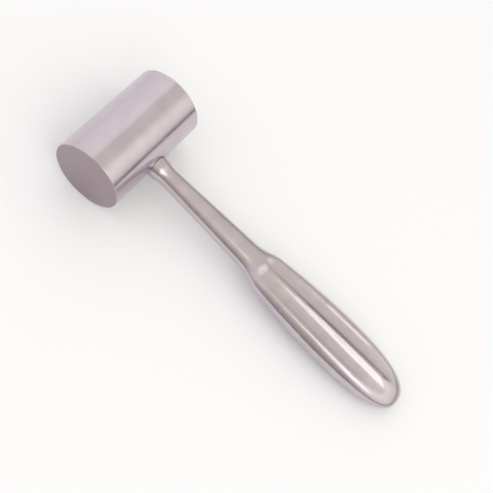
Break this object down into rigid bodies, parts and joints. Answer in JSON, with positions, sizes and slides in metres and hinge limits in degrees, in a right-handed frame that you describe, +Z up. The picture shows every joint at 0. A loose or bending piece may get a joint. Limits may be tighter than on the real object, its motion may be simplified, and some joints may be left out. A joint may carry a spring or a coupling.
{
  "type": "surgical mallet",
  "caption": "Stainless steel bone mallet: a plain solid cylinder head with flat striking faces on a forged handle with an oval, fluted grip.",
  "frame": {"origin": "on the floor under the middle of the mallet's bounding box, with the mallet lying on its side", "axes": "+X along the head's axis, +Y from the head towards the butt of the handle, +Z up from the floor; the handle slopes down to the butt by about 3.8 degrees"},
  "size_m": [0.0566, 0.1906, 0.035],
  "materials": {
    "turned_steel": "satin-polished stainless steel, turned",
    "forged_steel": "satin-polished stainless steel, forged and hand-finished"
  },
  "bodies": {
    "root": {"head": "turned_steel", "handle": "forged_steel"}
  },
  "joints": []
}
